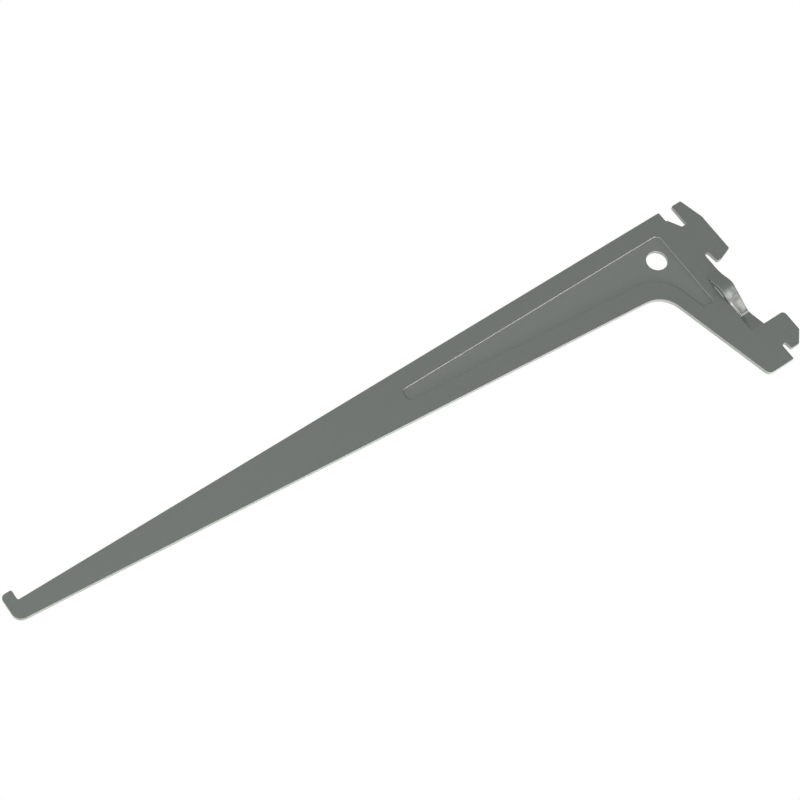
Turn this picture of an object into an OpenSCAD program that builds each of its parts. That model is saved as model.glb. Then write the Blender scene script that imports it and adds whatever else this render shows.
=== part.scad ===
// Shelf bracket for a single slotted wall rail, stamped from one steel sheet.
// X runs from the rail's face towards the front lip, Y stands off the sheet, Z is up.
// The origin is the seat of the upper hook: on the rail's face, in the middle of the sheet.

/* [Sheet] */
// Thickness of the steel sheet
sheet_t = 2; // [1.5:0.1:3]

/* [Arm] */
// Length of the arm, from the rail's face to the inside of the front lip
arm_len = 311; // [200:1:450]
// Depth of the arm at the front lip
tip_depth = 7.8; // [6:0.2:12]
// Depth of the arm where its underside meets the leg
root_depth = 31.2; // [28:0.2:40]
// Distance from the rail's face to the corner between underside and leg
root_reach = 26.2; // [24:0.2:32]
// Radius of the corner between underside and leg
root_r = 11.5; // [6:0.5:14]
// Gap between the rail's face and the arm's rear end
arm_gap = 3.6; // [2.5:0.1:6]

/* [Front lip] */
// Height of the lip above the arm's top edge
lip_h = 4.7; // [3:0.1:12]
// Thickness of the lip along the arm
lip_t = 4.7; // [3:0.1:8]
// Radius of the lip's outer top corner
lip_r = 1.8; // [0.5:0.1:2.5]
// Radius of the rounded corner below the lip
toe_r = 4; // [1:0.1:5]

/* [Leg] */
// Width of the leg at its lower end
foot_w = 12.8; // [9:0.2:16]
// How far the leg goes on below the lower seat
foot_drop = 7.5; // [5:0.5:20]
// Radius of the leg's front lower corner
foot_r = 2.6; // [0.5:0.1:4]

/* [Hooks] */
// Distance between the two seats, which is the pitch of the rail's slots
hook_pitch = 50; // [44:1:64]
// Height of the arm's top edge above the upper seat
seat_drop = 26.1; // [24:0.1:32]
// How far the hooks stand behind the rail's face
hook_reach = 10.7; // [9:0.1:14]
// Width of the slots that take the rail's wall
slot_w = 1.9; // [1.2:0.1:3]
// Lean of the slots' rear walls, in degrees
slot_lean = 9; // [0:1:12]
// How far the upper hook reaches below its seat
upper_grip = 5.2; // [3:0.1:7]
// Width of the upper hook at its lower end
upper_tip = 2.1; // [1:0.1:3]
// Rise of the upper hook's lower edge towards the rear
upper_rise = 2.1; // [0:0.1:3]
// How far the lower hook reaches below its seat
lower_grip = 3.4; // [2:0.1:6]
// Height of the lower hook above its seat
lower_head = 11.6; // [8:0.1:14]
// Radius of the lower hook's upper corner
head_r = 1.8; // [0.5:0.1:3]
// Width of the bevel on the lower hook's rear lower corner
bevel_w = 4.4; // [2:0.1:6]
// Height of the bevel on the lower hook's rear lower corner
bevel_h = 5; // [2:0.1:7]

/* [Entry notch] */
// Distance from the rail's face back to the nose's front flank
nose_gap = 2.9; // [2:0.1:4]
// Width of the nose at its tip
nose_w = 4.8; // [3:0.1:6]
// Depth of the nose's tip below the arm's top edge
nose_drop = 0.5; // [0.2:0.1:2]
// Depth of the knee behind the nose
knee_drop = 11.2; // [8:0.1:14]
// Depth at which the arm's rear end starts to slope towards the notch
slope_drop = 4.7; // [3:0.1:6]
// Width of the small step at which the slope starts
step_w = 0.8; // [0.4:0.1:1.2]
// Depth of the small step at which the slope starts
step_h = 0.4; // [0.2:0.1:1]
// Distance from the rail's face back to the lower end of the slope
slope_in = 0.5; // [0:0.1:1]
// Depth of the entry notch
notch_drop = 10.5; // [8:0.1:13]

/* [Stiffening panel] */
// Depth to which the panel is pressed in
panel_depth = 0.8; // [0.4:0.1:1]
// Distance from the arm's top edge to the panel
panel_top = 8; // [7:0.1:10]
// Distance from the rail's face to the panel
panel_rear = 10.6; // [9:0.1:13]
// Distance from the underside to the panel
panel_edge = 8.2; // [7.5:0.1:10]
// Distance from the leg's sloping edge to the panel
panel_side = 6.6; // [6:0.1:9]
// Height of the panel's front end
panel_nose = 5.5; // [4:0.1:7]
// Radius of the corners at the panel's front end
panel_nose_r = 2; // [1:0.1:2.5]
// Width of the panel's lower end
panel_foot = 5.2; // [4:0.1:6]
// Radius of the corners at the panel's lower end
panel_foot_r = 1.4; // [0.8:0.1:2]
// Radius of the panel's rear upper corner
panel_r = 2.4; // [1:0.1:4]

/* [Screw hole] */
// Diameter of the screw hole
hole_d = 9; // [4:0.1:11]
// Distance from the rail's face to the hole's centre
hole_in = 18.1; // [17.5:0.1:20]
// Depth of the hole's centre below the arm's top edge
hole_drop = 17.2; // [16:0.1:18.5]

/* [Waved strip] */
// Width of the strip that is slit free along the rear edge
strip_w = 6; // [4:0.1:7]
// Width of the slit
slit_w = 0.3; // [0.2:0.05:0.8]
// Distance from each end of the strip to the end of the slit
slit_in = 0.9; // [0.4:0.1:2]
// Distance from the upper seat down to the strip
strip_drop = 9.5; // [8:0.1:14]
// Distance from the strip's end down to the lower hook
strip_rest = 0.6; // [0.4:0.1:4]
// How far each wave stands off the sheet
wave_h = 2.9; // [1.5:0.1:3.5]
// Distance from each end of the strip to the top of its wave
wave_in = 7.7; // [5.5:0.1:9]
// Inside radius of the strip's bends
bend_r = 1.2; // [0.5:0.1:1.5]

/* [Hidden] */
sheet_colour = [0.44, 0.46, 0.44];
arc_step = 12;     // largest angle between two points of a rounded corner
small_r = 0.6;     // radius that takes the sharpness off the hooks' corners
fine_r = 0.4;      // radius of the smallest corners
run_out = 1;       // how far a cut runs past the sheet
side_share = 0.49; // largest share of a side that the rounding of one corner may take
hole_facets = 96;  // facets of the screw hole

top_z = seat_drop;
low_seat_z = -hook_pitch;
foot_z = low_seat_z - foot_drop;
root = [root_reach, top_z - root_depth];
toe = [arm_len, top_z - tip_depth];
foot = [foot_w, foot_z];
flank_x = -nose_gap;
rear_x = -hook_reach;
upper_tip_x = -slot_w - upper_grip * tan(slot_lean) - upper_tip;
low_head_z = low_seat_z + lower_head;
strip_top_z = -strip_drop;
strip_end_z = low_head_z + strip_rest;

// Rise of the underside towards the front, and lean of the leg's sloping edge
under_slope = (toe.y - root.y) / (toe.x - root.x);
leg_slope = (root.x - foot.x) / (root.y - foot.y);

// The panel's lower lines run parallel to the underside and to the leg's sloping edge
panel_lift = panel_edge * sqrt(1 + under_slope * under_slope);
panel_shift = panel_side * sqrt(1 + leg_slope * leg_slope);
panel_top_z = top_z - panel_top;
panel_end_x = root.x + (panel_top_z - panel_nose - panel_lift - root.y) / under_slope;
panel_end_z = root.y + (panel_rear + panel_foot + panel_shift - root.x) / leg_slope;

function under_z(x) = root.y + (x - root.x) * under_slope;
function leg_x(z) = root.x + (z - root.y) * leg_slope;

// Corner where the panel's two lower lines meet
panel_corner_x = (leg_x(root.y + panel_lift - root.x * under_slope) - panel_shift)
    / (1 - leg_slope * under_slope);
panel_corner = [panel_corner_x, under_z(panel_corner_x) + panel_lift];

function cross_z(u, v) = u.x * v.y - u.y * v.x;
function unit(v) = v / norm(v);

// Points of an arc of radius r that rounds the corner b, on the way from a to c
function corner_arc(a, b, c, r) =
    let (
        u = unit(a - b),
        v = unit(c - b),
        half = acos(max(-1, min(1, u * v))) / 2,
        back = min(r / tan(half), side_share * norm(a - b), side_share * norm(c - b)),
        radius = back * tan(half),
        centre = b + unit(u + v) * radius / sin(half),
        from = b + u * back - centre,
        turn = (180 - 2 * half) * sign(cross_z(b - a, c - b)),
        steps = max(1, ceil(abs(turn) / arc_step)),
        start = atan2(from.y, from.x)
    )
    [for (i = [0 : steps]) centre + radius * [cos(start + turn * i / steps), sin(start + turn * i / steps)]];

// Outline through corners given as [x, z, radius]
function rounded(corners) =
    let (n = len(corners), at = function (i) [corners[(i + n) % n].x, corners[(i + n) % n].y])
    [for (i = [0 : n - 1]) each
        corners[i].z > 0 ? corner_arc(at(i - 1), at(i), at(i + 1), corners[i].z) : [at(i)]];

// Hook that hangs in a slot of the rail: its slot and lower end, seen from the seat at z
function slot_corners(z, grip) = [
    [0, z, fine_r],
    [-slot_w, z, fine_r],
    [-slot_w - grip * tan(slot_lean), z - grip, small_r]
];

// Corners of the whole blank, from the arm's rear end round by the lip, leg and hooks
blank_corners = concat(
    [
        [arm_gap, top_z, small_r],
        [arm_gap, top_z - slope_drop, fine_r],
        [arm_gap - step_w, top_z - slope_drop - step_h, fine_r],
        [-slope_in, top_z - notch_drop, small_r],
        [flank_x, top_z - notch_drop, small_r],
        [flank_x, top_z - nose_drop, small_r],
        [flank_x - nose_w, top_z - nose_drop, small_r],
        [rear_x, top_z - knee_drop, small_r],
        [rear_x, -upper_grip + upper_rise, small_r],
        [upper_tip_x, -upper_grip, small_r]
    ],
    [for (i = [2 : -1 : 0]) slot_corners(0, upper_grip)[i]],
    [
        [0, low_head_z, fine_r],
        [rear_x, low_head_z, head_r],
        [rear_x, low_seat_z - lower_grip + bevel_h, small_r],
        [rear_x + bevel_w, low_seat_z - lower_grip, small_r]
    ],
    [for (i = [2 : -1 : 0]) slot_corners(low_seat_z, lower_grip)[i]],
    [
        [0, foot_z, fine_r],
        [foot.x, foot.y, foot_r],
        [root.x, root.y, root_r],
        [arm_len + lip_t, under_z(arm_len + lip_t), toe_r],
        [arm_len + lip_t, top_z + lip_h, lip_r],
        [arm_len, top_z + lip_h, small_r],
        [arm_len, top_z, small_r]
    ]
);

// Corners of the stiffening panel
panel_corners = [
    [panel_rear, panel_top_z, panel_r],
    [panel_rear, panel_end_z, panel_foot_r],
    [panel_rear + panel_foot, panel_end_z, panel_foot_r],
    [panel_corner.x, panel_corner.y, root_r + panel_side],
    [panel_end_x, under_z(panel_end_x) + panel_lift, panel_nose_r],
    [panel_end_x, panel_top_z, panel_nose_r]
];

// Middle line of the waved strip as [y, z], and its outline between the sheet's two faces
strip_line = [
    [0, strip_top_z + run_out],
    [0, strip_top_z],
    [wave_h, strip_top_z - wave_in],
    [-wave_h, strip_end_z + wave_in],
    [0, strip_end_z],
    [0, strip_end_z - run_out]
];

// Corner of the line that runs beside the strip's middle line, on the side given
function beside(i, side) =
    let (
        u = unit(strip_line[i] - strip_line[i - 1]),
        v = unit(strip_line[i + 1] - strip_line[i]),
        out = unit([-u.y - v.y, u.x + v.x]),
        reach = side * sheet_t / 2 / (out * [-u.y, u.x]),
        outer = sign(cross_z(u, v)) * side < 0
    )
    [each (strip_line[i] + out * reach), outer ? bend_r + sheet_t : bend_r];

strip_corners = concat(
    [[sheet_t / 2, strip_top_z + run_out, 0]],
    [for (i = [1 : 4]) beside(i, 1)],
    [[sheet_t / 2, strip_end_z - run_out, 0], [-sheet_t / 2, strip_end_z - run_out, 0]],
    [for (i = [4 : -1 : 1]) beside(i, -1)],
    [[-sheet_t / 2, strip_top_z + run_out, 0]]
);

// Lays an outline drawn in X and Z into the sheet, from the height y0 to y1 along Y
module across_sheet(y0, y1) {
    translate([0, y1, 0])
        rotate([90, 0, 0])
            linear_extrude(height = y1 - y0)
                children();
}

module flat_blank() {
    across_sheet(-sheet_t / 2, sheet_t / 2)
        polygon(rounded(blank_corners));
}

module panel_shape() {
    polygon(rounded(panel_corners));
}

module screw_hole() {
    cut = 2 * (sheet_t + panel_depth + run_out);
    translate([hole_in, 0, top_z - hole_drop])
        rotate([90, 0, 0])
            cylinder(h = cut, d = hole_d, center = true, $fn = hole_facets);
}

// Clears the sheet where the strip goes, and opens the slit beside it
module strip_window() {
    length = strip_top_z - strip_end_z;
    translate([-run_out, -sheet_t, strip_end_z])
        cube([run_out + strip_w, 2 * sheet_t, length]);
    translate([0, -sheet_t, strip_end_z + slit_in])
        cube([strip_w + slit_w, 2 * sheet_t, length - 2 * slit_in]);
}

module waved_strip() {
    rotate([90, 0, 90])
        linear_extrude(height = strip_w)
            polygon(rounded(strip_corners));
}

module bracket() {
    color(sheet_colour)
        difference() {
            union() {
                difference() {
                    flat_blank();
                    strip_window();
                    across_sheet(sheet_t / 2 - panel_depth, sheet_t / 2 + run_out)
                        panel_shape();
                }
                across_sheet(-sheet_t / 2 - panel_depth, -sheet_t / 2)
                    panel_shape();
                waved_strip();
            }
            screw_hole();
        }
}

bracket();
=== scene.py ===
import math

import bmesh
import bpy
from mathutils import Matrix, Vector


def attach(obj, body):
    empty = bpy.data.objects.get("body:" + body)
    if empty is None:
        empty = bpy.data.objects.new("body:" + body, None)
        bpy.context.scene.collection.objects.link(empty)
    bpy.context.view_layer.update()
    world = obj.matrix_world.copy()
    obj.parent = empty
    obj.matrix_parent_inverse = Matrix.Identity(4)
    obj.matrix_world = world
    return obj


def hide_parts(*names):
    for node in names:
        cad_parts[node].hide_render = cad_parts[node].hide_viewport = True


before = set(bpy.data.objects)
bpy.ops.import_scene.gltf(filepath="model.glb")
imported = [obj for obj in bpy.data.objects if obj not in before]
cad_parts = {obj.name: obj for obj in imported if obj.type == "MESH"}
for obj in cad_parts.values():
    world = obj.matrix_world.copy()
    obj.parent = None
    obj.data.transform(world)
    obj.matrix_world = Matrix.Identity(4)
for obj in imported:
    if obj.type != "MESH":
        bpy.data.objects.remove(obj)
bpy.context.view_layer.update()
mm = 0.001
print("frame loaded")


def newObject(name, bm):
    mesh = bpy.data.meshes.new(name)
    bm.normal_update()
    bm.to_mesh(mesh)
    bm.free()
    made = bpy.data.objects.new(name, mesh)
    bpy.context.scene.collection.objects.link(made)
    return made


def roundEdges(bm, edges, width, segments):
    bmesh.ops.bevel(bm, geom=[e for e in edges if e.is_valid], offset=width * mm, offset_type="OFFSET",
                    affect="EDGES", segments=segments, profile=0.5, material=-1, clamp_overlap=False)


def mix(a, b, share):
    return a + (b - a) * share


def spaced(a, b, count):
    # Evenly spaced values from just after a up to b
    return [mix(a, b, i / count) for i in range(1, count + 1)]


def row(start, end, count):
    return list(zip(spaced(start[0], end[0], count), spaced(start[1], end[1], count)))


def limited(share):
    return min(max(share, 0), 1)


def ease(a, b, x):
    share = limited((x - a) / (b - a))
    return share * share * (3 - 2 * share)


# Satin metallic paint: the colour of the faces, and lighter copies of it that are painted light: on the cut
# edges, as bright painted highlights, on the strip's facet that faces the light, and on the panel's floor
finish = {
    "paint": (0.152, 0.167, 0.153),
    "edge": (0.30, 0.315, 0.295),
    "steel": (0.60, 0.60, 0.585),
    "facetLight": (0.25, 0.26, 0.245),
    "panel": (0.172, 0.187, 0.173),
    "metallic": 0.25,
    "roughness": 0.42,
    "flakeScale": 1800,
    "flakeDetail": 2,
    "flakeStrength": 0.12,
    "flakeDepth": 0.0001,   # in metres
}


def newPaint(name, colour):
    mat = bpy.data.materials.new(name)
    mat.use_nodes = True
    nodes, links = mat.node_tree.nodes, mat.node_tree.links
    shader = nodes["Principled BSDF"]
    shader.inputs["Base Color"].default_value = (*colour, 1)
    shader.inputs["Metallic"].default_value = finish["metallic"]
    shader.inputs["Roughness"].default_value = finish["roughness"]
    where = nodes.new("ShaderNodeTexCoord")
    flake = nodes.new("ShaderNodeTexNoise")
    flake.inputs["Scale"].default_value = finish["flakeScale"]
    flake.inputs["Detail"].default_value = finish["flakeDetail"]
    bump = nodes.new("ShaderNodeBump")
    bump.inputs["Strength"].default_value = finish["flakeStrength"]
    bump.inputs["Distance"].default_value = finish["flakeDepth"]
    links.new(where.outputs["Object"], flake.inputs["Vector"])
    links.new(flake.outputs["Fac"], bump.inputs["Height"])
    links.new(bump.outputs["Normal"], shader.inputs["Normal"])
    return mat


def greyPaint():
    return newPaint("greyPaint", finish["paint"])


# Painted light: the panel's floor a little lighter than the other faces
def litPanelPaint():
    return newPaint("litPanelPaint", finish["panel"])


# Painted light: a lighter copy of the paint for the cut edges
def litCutEdge():
    return newPaint("litCutEdge", finish["edge"])


# Painted highlight: a bright copy of the paint for the panel's upper wall and the patch's left slope and
# lower end
def highlightEdge():
    return newPaint("highlightEdge", finish["steel"])


# Painted highlights on the strip's facet, in millimetres: spots as (x, z, radius), and the heights where it
# fades in
facetSheen = {
    "spots": ((4.4, -20.8, 2.0), (1.9, -25.6, 2.2), (1.5, -27.6, 1.6)),
    "spotShare": 0.75,
    "spotBase": 0.7,        # what a spot shows between the specks
    "fadeFrom": -17.6,
    "fadeTo": -20.0,
    "speckScale": 900,
    "speckDetail": 3,
    "speckLevels": (0.35, 0.75),  # levels of the noise between which a speck comes out
    "speckShare": 0.4,
}


def facetSheenPaint():
    # Painted highlight: lighter paint with a few brighter spots and fine specks on the facet that faces the
    # light, fading into the plain paint above
    mat = newPaint("facetSheenPaint", finish["facetLight"])
    nodes, links = mat.node_tree.nodes, mat.node_tree.links

    def feed(socket, value):
        if isinstance(value, bpy.types.NodeSocket):
            links.new(value, socket)
        else:
            socket.default_value = value

    def maths(kind, first, second):
        node = nodes.new("ShaderNodeMath")
        node.operation = kind
        feed(node.inputs[0], first)
        feed(node.inputs[1], second)
        return node.outputs[0]

    def ranged(value, low, high, top):
        node = nodes.new("ShaderNodeMapRange")
        node.interpolation_type = "SMOOTHSTEP"
        node.inputs["From Min"].default_value = low
        node.inputs["From Max"].default_value = high
        node.inputs["To Max"].default_value = top
        links.new(value, node.inputs["Value"])
        return node.outputs[0]

    def blended(factor, first, second):
        node = nodes.new("ShaderNodeMix")
        node.data_type = "RGBA"
        links.new(factor, node.inputs["Factor"])
        feed(node.inputs["A"], first)
        feed(node.inputs["B"], second)
        return node.outputs["Result"]

    where = nodes.new("ShaderNodeTexCoord")
    parts = nodes.new("ShaderNodeSeparateXYZ")
    links.new(where.outputs["Object"], parts.inputs["Vector"])
    speck = nodes.new("ShaderNodeTexNoise")
    speck.inputs["Scale"].default_value = facetSheen["speckScale"]
    speck.inputs["Detail"].default_value = facetSheen["speckDetail"]
    links.new(where.outputs["Object"], speck.inputs["Vector"])
    highlit = ranged(speck.outputs["Fac"], *facetSheen["speckLevels"], facetSheen["speckShare"])
    for x, z, radius in facetSheen["spots"]:
        across = maths("SUBTRACT", parts.outputs["X"], x * mm)
        along = maths("SUBTRACT", parts.outputs["Z"], z * mm)
        away = maths("ADD", maths("MULTIPLY", across, across), maths("MULTIPLY", along, along))
        spot = ranged(away, (radius * mm) ** 2, 0, facetSheen["spotShare"])
        highlit = maths("MAXIMUM", highlit, maths("MULTIPLY", spot, maths("ADD", highlit, facetSheen["spotBase"])))
    shown = ranged(parts.outputs["Z"], facetSheen["fadeFrom"] * mm, facetSheen["fadeTo"] * mm, 1)
    tint = blended(highlit, (*finish["facetLight"], 1), (*finish["steel"], 1))
    tint = blended(shown, (*finish["paint"], 1), tint)
    links.new(tint, nodes["Principled BSDF"].inputs["Base Color"])
    return mat


# The sheet's material slots, in their order
paints = {"grey": greyPaint, "cut": litCutEdge, "highlit": highlightEdge, "facetSheen": facetSheenPaint, "panel": litPanelPaint}


def slotOf(paint):
    return list(paints).index(paint)


# The waved strip between the hooks, in millimetres, from its upper end down to its lower one
strip = {
    "width": 6.0,
    "half": 1.0,            # half of the sheet's thickness
    "rowTop": -8.6,         # first and last cross-section, both inside the sheet
    "rowEnd": -38.3,
    "rows": (110, 3, 45),   # cross-sections above the patch's lower slope, on it and below it
    "waveTop": -9.5,
    "waveEnd": -37.8,
    "waveRun": 1.5,         # length over which the rounded edges begin
    "crestAt": -17.1,
    "crest": 3.1,
    "troughAt": -29.9,
    "trough": -3.0,
    "bend": 1.8,            # half of the length over which a bend is rounded
    "bendSteps": 6,
    "patchTop": -23.7,      # the patch, painted lighter as a highlight, stands a little proud of the strip
    "patchEnd": -29.5,
    "patchRun": 0.35,       # length over which its left slope begins
    "patchStep": 0.65,      # length of the slope at its lower end
    "patchRise": 0.75,
    "patchDrop": 0.87,      # share of the rise that its left slope comes down
    "patchSide": 0.6,       # width of the slope on its left
    "patchLeft": (5.15, 4.15),  # left border, at its top and its lower end
    "draw": 0.535,          # how far an edge moves in for each millimetre that it rises
    "edgeRound": 0.2,
    "inset": 0.02,          # keeps the ends just under the sheet's faces
    "rearBand": 0.5,        # width beside the rear edge that is kept inside in the same way
    "slitX": 6.3,           # the sheet's side of the slit, and the slit's two ends
    "slitTop": -10.4,
    "slitEnd": -36.9,
    "slitRun": 1.0,         # length over which the slit opens at its ends
    "slitGap": 0.08,        # what stays open where the cut wall leans out
    "spread": 0.15,         # how far the cut edge spreads into the slit
    "wallAt": (0.1, 0.72, 0.86, 1),  # lines along the cut wall, as shares of its height
    "frontPoints": 20,      # points along each stretch of a cross-section
    "slopePoints": 4,
    "backPoints": 3,
    "sheenTop": -18.1,       # the painted highlight above the patch begins here
    "brightTop": -11.0,     # heights between which the cut wall shows two bright lines, painted in as highlights
    "brightEnd": -21.7,
    "shadeLineRun": 1.0,       # painted shade line along the patch's border: where it begins, and its width
    "shadeLineWidth": 0.4,
    "weld": 0.0005,
}


def waveHeight(z):
    # Straight slopes between the bends, which are rounded by a moving average
    s = strip
    turns = [(s["waveTop"], 0), (s["crestAt"], s["crest"]), (s["troughAt"], s["trough"]), (s["waveEnd"], 0)]

    def straight(at):
        for (above, high), (below, low) in zip(turns, turns[1:]):
            if above >= at >= below:
                return mix(high, low, (above - at) / (above - below))
        return 0
    steps = range(-s["bendSteps"], s["bendSteps"] + 1)
    return sum(straight(z + s["bend"] * i / s["bendSteps"]) for i in steps) / len(steps)


def stripSection(z):
    # Stretches of points as (x, y) round one cross-section, from the rear edge over the front to the back
    s = strip
    low = waveHeight(z)
    fall = limited((s["patchEnd"] - z) / s["patchStep"])
    grow = ease(s["crestAt"], s["patchEnd"], z) * s["patchRise"] * (1 - fall)
    proud = ease(s["patchTop"], s["patchTop"] - s["patchRun"], z) * (1 - fall)
    face = s["half"] + low + grow - s["inset"]
    ledge = face - s["patchRise"] * s["patchDrop"] * proud
    back = low - s["half"] + s["inset"]
    turned = s["edgeRound"] * ease(s["waveTop"], s["waveTop"] - s["waveRun"], z)
    turned *= ease(s["waveEnd"], s["waveEnd"] + s["waveRun"], z)
    quarter = [(turned * (1 - math.cos(a)), turned * (1 - math.sin(a)))
               for a in map(math.radians, (0, 30, 60, 90))]
    opened = ease(s["slitTop"], s["slitTop"] - s["slitRun"], z)
    closing = ease(s["slitEnd"], s["slitEnd"] + s["slitRun"], z)
    rear = s["draw"] * grow
    left = s["width"] + s["spread"] * opened * closing
    border = mix(*s["patchLeft"], limited((s["patchTop"] - z) / (s["patchTop"] - s["patchEnd"])))
    start = border + s["patchSide"]
    # The cut wall leans out as far as the slit, and rests on the sheet where the strip bulges
    lean = s["slitX"] - s["slitGap"] - left + s["draw"] * max(back - s["half"], 0)
    lean *= opened * ease(s["patchTop"] - s["slitRun"], s["patchTop"] + s["slitRun"], z)
    front = row((rear + turned, face), (border, face), s["frontPoints"])
    corner = [(left - x, ledge - y) for x, y in reversed(quarter)]
    wall = [(left + lean * share, mix(ledge - turned, back, share)) for share in s["wallAt"]]
    stretches = {
        "rearCorner": [(rear + x, face - y) for x, y in quarter],
        "front": front[:-1],
        "shadeLine": front[-1:],
        "slope": row((border, face), (start, ledge), s["slopePoints"]),
        "ledge": row((start, ledge), (left - turned, ledge), s["slopePoints"])[:-1],
        "leftCorner": corner[:2],
        "shoulder": corner[2:3],
        "rim": corner[3:] + wall[:1],
        "wall": wall[1:2],
        "burr": wall[2:3],
        "wallEnd": wall[3:],
        "back": row((left, back), (0, back), s["backPoints"]),
    }
    tuck = s["inset"] / 2
    return {name: [(x + tuck if x < s["rearBand"] else x, y) for x, y in points]
            for name, points in stretches.items()}


def stripPaint(stretch, z):
    # The paint of a face, from its stretch of the cross-section and its height
    s = strip
    onTop = stretch in ("rearCorner", "front", "shadeLine")
    beside = stretch in ("slope", "ledge", "leftCorner", "shoulder")
    if s["patchTop"] > z > s["patchEnd"] - s["patchStep"]:
        # The patch's left slope and lower end take the painted highlight
        if stretch == "slope" or onTop and z < s["patchEnd"]:
            return "highlit"
        # Painted shade lines: the border's stretch and the patch's lower end keep the plain, darker paint
        inShade = stretch == "shadeLine" and z < s["patchTop"] - s["shadeLineRun"]
        inShade = inShade or z < s["patchEnd"] + s["shadeLineWidth"]
        return "facetSheen" if onTop and not inShade else "grey"
    # The cut wall's two bright lines are painted highlights, in the cut edges' lighter paint
    if stretch in ("shoulder", "rim", "burr") and s["brightTop"] > z > s["brightEnd"]:
        return "cut"
    # Above the patch, the facet that slopes toward the light is painted lighter as a highlight
    return "facetSheen" if (onTop or beside) and s["patchTop"] <= z < s["sheenTop"] else "grey"


def addStrip(bm):
    # A grid, moved row by row to the cross-sections and closed to a tube along its seam
    s = strip
    step = s["patchEnd"] - s["patchStep"]
    above, over, below = s["rows"]
    heights = [s["rowTop"]] + spaced(s["rowTop"], s["patchEnd"], above)
    heights += spaced(s["patchEnd"], step, over) + spaced(step, s["rowEnd"], below)
    sections = [stripSection(z) for z in heights]
    rings = [sum(section.values(), []) for section in sections]
    stretches = [name for name, points in sections[0].items() for p in points] + ["back"]
    across = len(rings[0])
    down = len(heights) - 1
    made = bmesh.ops.create_grid(bm, x_segments=across, y_segments=down, size=1)
    column = {}
    for v in made["verts"]:
        column[v] = round((v.co.x + 1) / 2 * across)
        j = round((1 - v.co.y) / 2 * down)
        x, y = rings[j][column[v] % across]
        v.co = (x * mm, y * mm, heights[j] * mm)
    for f in {f for v in made["verts"] for f in v.link_faces}:
        stretch = stretches[max(column[v] for v in f.verts)]
        f.material_index = slotOf(stripPaint(stretch, f.calc_center_median().z / mm))
    bmesh.ops.remove_doubles(bm, verts=made["verts"], dist=s["weld"] * mm)
    print("strip ready, cross-sections:", len(heights))


# The sheet as it comes from the frame, in millimetres
sheet = {
    "holeAt": (18.1, 8.9),  # centre of the screw hole, along X and Z
    "holeRadius": 4.5,
    "edgeRound": 0.12,      # rounding of the punched outline
    "pressRound": 0.15,     # rounding of the panel's step
    "holeRound": 0.15,
    "slitRound": 0.12,
    "window": ((-2, -8, -38.0), (6.02, 8, -9.0)),  # box cleared for the strip, from one corner to the other
    "floorBelow": 0.5,      # the panel's floor lies lower than this on the front
    "stepAbove": -0.9,      # the walls of the panel's step on the front end above this
    "stepHeight": 1.0,      # and they are lower than this
    "facing": 0.9,          # least part of a face's normal along the axis that it faces
    "steep": 0.3,           # largest part along Y for a wall through the sheet
    "near": 0.05,           # how closely an edge lies on the hole or the slit that it belongs to
    "level": 0.01,          # largest difference along Y between an edge's ends
    "sharpAngle": 60,
    "smoothAngle": 32,
    "weld": 0.002,
    "flatAngle": 0.5,
}


def cleaned(bm):
    # Joins the loose triangles, and merges those that lie flat
    bmesh.ops.remove_doubles(bm, verts=bm.verts, dist=sheet["weld"] * mm)
    flat = math.radians(sheet["flatAngle"])
    bmesh.ops.dissolve_limit(bm, angle_limit=flat, verts=bm.verts, edges=bm.edges)


def clearWindow(target):
    # Takes the plain strip out of the copied sheet
    low, high = (Vector(corner) * mm for corner in sheet["window"])
    bm = bmesh.new()
    bmesh.ops.create_cube(bm, size=1)
    bmesh.ops.scale(bm, verts=bm.verts, vec=high - low)
    bmesh.ops.translate(bm, verts=bm.verts, vec=(high + low) / 2)
    cutter = newObject("cutter", bm)
    cut = target.modifiers.new("window", "BOOLEAN")
    cut.operation = "DIFFERENCE"
    cut.solver = "EXACT"
    cut.object = cutter
    graph = bpy.context.evaluated_depsgraph_get()
    cleared = bpy.data.meshes.new_from_object(target.evaluated_get(graph))
    bpy.data.objects.remove(target)
    bpy.data.objects.remove(cutter)
    bm = bmesh.new()
    bm.from_mesh(cleared)
    cleaned(bm)
    return bm


def sharpEdges(bm):
    # Sorts the sheet's sharp edges by what they belong to
    s = sheet
    near = s["near"]
    (_, _, end), (_, _, top) = s["window"]
    found = {"press": [], "rim": [], "hole": [], "slit": []}
    for e in bm.edges:
        if len(e.link_faces) != 2 or e.calc_face_angle() < math.radians(s["sharpAngle"]):
            continue
        ends = [v.co / mm for v in e.verts]
        walls = [f for f in e.link_faces if abs(f.normal.y) < s["steep"]]
        if abs(ends[0].y - ends[1].y) > s["level"] or not walls:
            continue
        away = [math.hypot(p.x - s["holeAt"][0], p.z - s["holeAt"][1]) for p in ends]
        depths = [v.co.y / mm for v in walls[0].verts]
        if all(abs(a - s["holeRadius"]) < near for a in away):
            found["hole"].append(e)
        elif all(p.x < strip["slitX"] + near and end - near < p.z < top + near for p in ends):
            if all(p.x > strip["slitX"] - near for p in ends):
                found["slit"].append(e)
        elif max(depths) - min(depths) < s["stepHeight"]:
            found["press"].append(e)
        else:
            found["rim"].append(e)
    return found


def sheetPaint(f):
    depths = [v.co.y / mm for v in f.verts]
    # The panel's floor takes the slightly lighter paint, painted light
    if f.normal.y > sheet["facing"] and max(depths) < sheet["floorBelow"]:
        return "panel"
    if f.normal.z < -sheet["facing"] and min(depths) > sheet["stepAbove"]:
        return "highlit"  # the panel's upper wall, painted bright as a highlight
    # Every other wall through or in the sheet takes the lighter paint, painted light
    return "cut" if abs(f.normal.y) < sheet["steep"] else "grey"


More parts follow.
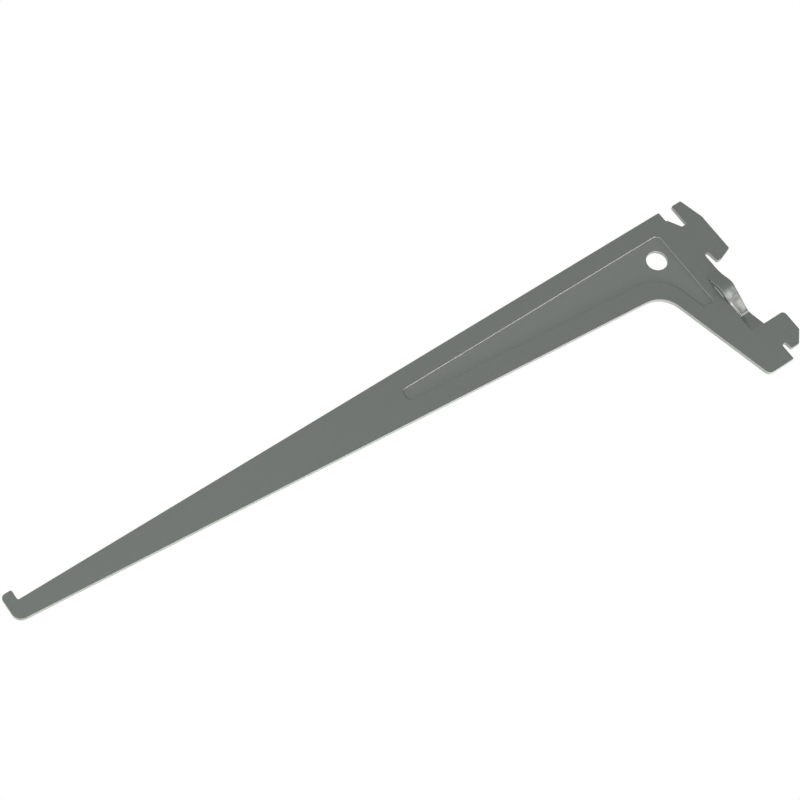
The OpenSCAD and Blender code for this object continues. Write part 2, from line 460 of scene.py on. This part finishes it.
def makeSheet():
    bm = bmesh.new()
    bm.from_mesh(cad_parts["bracket"].data)
    cleaned(bm)
    bm = clearWindow(newObject("wholeSheet", bm))
    edges = sharpEdges(bm)
    for f in bm.faces:
        f.material_index = slotOf(sheetPaint(f))
    roundEdges(bm, edges["press"], sheet["pressRound"], 3)
    roundEdges(bm, edges["rim"], sheet["edgeRound"], 3)
    roundEdges(bm, edges["hole"], sheet["holeRound"], 2)
    roundEdges(bm, edges["slit"], sheet["slitRound"], 2)
    addStrip(bm)
    bmesh.ops.recalc_face_normals(bm, faces=bm.faces)
    made = newObject("paintedSheet", bm)
    for f in made.data.polygons:
        f.use_smooth = True
    made.data.set_sharp_from_angle(angle=math.radians(sheet["smoothAngle"]))
    even = made.modifiers.new("evenNormals", "WEIGHTED_NORMAL")
    even.keep_sharp = True
    for paint in paints.values():
        made.data.materials.append(paint())
    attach(made, "root")
    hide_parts("bracket")
    print("sheet ready, faces:", len(made.data.polygons), {k: len(v) for k, v in edges.items()})


# The camera stands in front of the lip and below the arm, as the photograph was taken
view = {
    "place": (0.42145, 0.77189, -0.25842),
    "right": (-0.8087, 0.08462, -0.5821),
    "up": (-0.49287, 0.44265, 0.74909),
    "back": (0.32106, 0.89269, -0.31626),
    "lens": 99,
    "sensor": 36,
    "nearest": 0.01,
    "shift": 0.5 / 800,     # half a pixel of the picture
}


def makeCamera():
    data = bpy.data.cameras.new("camera")
    data.lens = view["lens"]
    data.sensor_width = view["sensor"]
    data.clip_start = view["nearest"]
    data.shift_x = -view["shift"]
    data.shift_y = view["shift"]
    camera = bpy.data.objects.new("camera", data)
    turn = Matrix((view["right"], view["up"], view["back"])).transposed()
    camera.matrix_world = Matrix.Translation(view["place"]) @ turn.to_4x4()
    bpy.context.scene.collection.objects.link(camera)
    bpy.context.scene.camera = camera
    print("camera ready")


# A pale floor below the hanging bracket, with a lamp in front of it, one under it and a weak one behind
studio = {
    "floorAt": (0.15, 0, -0.5),
    "floorSize": 4,
    "floorColour": (0.85, 0.85, 0.85),
    "floorRoughness": 0.7,
    "floorGlow": 0.62,      # added only where the camera or a reflection sees the floor
    "fill": 0.32,
    "key": {"place": (1.2, 1.05, 0.2), "aim": (0.12, 0, -0.01), "size": (0.35, 0.3), "watts": 13},
    "low": {"place": (0.13, -0.02, -0.44), "aim": (0.13, 0, 0), "size": (0.60, 0.35), "watts": 3.8},
    "back": {"place": (-0.35, -1.2, 0.3), "aim": (0.12, 0, 0), "size": (0.6, 0.5), "watts": 8},
}


def seenDirectly(tree):
    # 1 where the camera, a reflection or a clear material looks, 0 for all other light
    ray = tree.nodes.new("ShaderNodeLightPath")
    seen = ray.outputs["Is Camera Ray"]
    for kind in ("Is Glossy Ray", "Is Transmission Ray"):
        either = tree.nodes.new("ShaderNodeMath")
        either.operation = "MAXIMUM"
        tree.links.new(seen, either.inputs[0])
        tree.links.new(ray.outputs[kind], either.inputs[1])
        seen = either.outputs[0]
    return seen


def paleFloor():
    mat = bpy.data.materials.new("paleFloor")
    mat.use_nodes = True
    nodes, links = mat.node_tree.nodes, mat.node_tree.links
    shader = nodes["Principled BSDF"]
    shader.inputs["Base Color"].default_value = (*studio["floorColour"], 1)
    shader.inputs["Roughness"].default_value = studio["floorRoughness"]
    shader.inputs["Emission Color"].default_value = (1, 1, 1, 1)
    glow = nodes.new("ShaderNodeMath")
    glow.operation = "MULTIPLY"
    glow.inputs[1].default_value = studio["floorGlow"]
    links.new(seenDirectly(mat.node_tree), glow.inputs[0])
    links.new(glow.outputs[0], shader.inputs["Emission Strength"])
    return mat


def makeFloor():
    bm = bmesh.new()
    bmesh.ops.create_grid(bm, x_segments=1, y_segments=1, size=studio["floorSize"])
    bmesh.ops.translate(bm, verts=bm.verts, vec=studio["floorAt"])
    made = newObject("floor", bm)
    made.data.materials.append(paleFloor())
    print("floor ready")


def makeLamp(name, lamp):
    data = bpy.data.lights.new(name, "AREA")
    data.shape = "RECTANGLE"
    data.size, data.size_y = lamp["size"]
    data.energy = lamp["watts"]
    made = bpy.data.objects.new(name, data)
    made.location = lamp["place"]
    made.rotation_euler = (Vector(lamp["aim"]) - Vector(lamp["place"])).to_track_quat("-Z", "Y").to_euler()
    made.visible_camera = False
    made.visible_glossy = False  # no glare on the satin paint, from whichever side it is seen
    bpy.context.scene.collection.objects.link(made)


def makeWorld():
    # White where it is seen directly, and a softer fill elsewhere
    world = bpy.data.worlds.new("paleRoom")
    bpy.context.scene.world = world
    world.use_nodes = True
    nodes, links = world.node_tree.nodes, world.node_tree.links
    nodes.clear()
    blend = nodes.new("ShaderNodeMixShader")
    links.new(seenDirectly(world.node_tree), blend.inputs["Fac"])
    for slot, strength in ((1, studio["fill"]), (2, 1)):
        glow = nodes.new("ShaderNodeBackground")
        glow.inputs["Color"].default_value = (1, 1, 1, 1)
        glow.inputs["Strength"].default_value = strength
        links.new(glow.outputs[0], blend.inputs[slot])
    out = nodes.new("ShaderNodeOutputWorld")
    links.new(blend.outputs[0], out.inputs["Surface"])


makeCamera()
makeSheet()
makeFloor()
makeWorld()
makeLamp("keyLamp", studio["key"])
makeLamp("lowLamp", studio["low"])
makeLamp("backLamp", studio["back"])
bpy.context.scene.view_settings.view_transform = "Standard"
print("light ready")
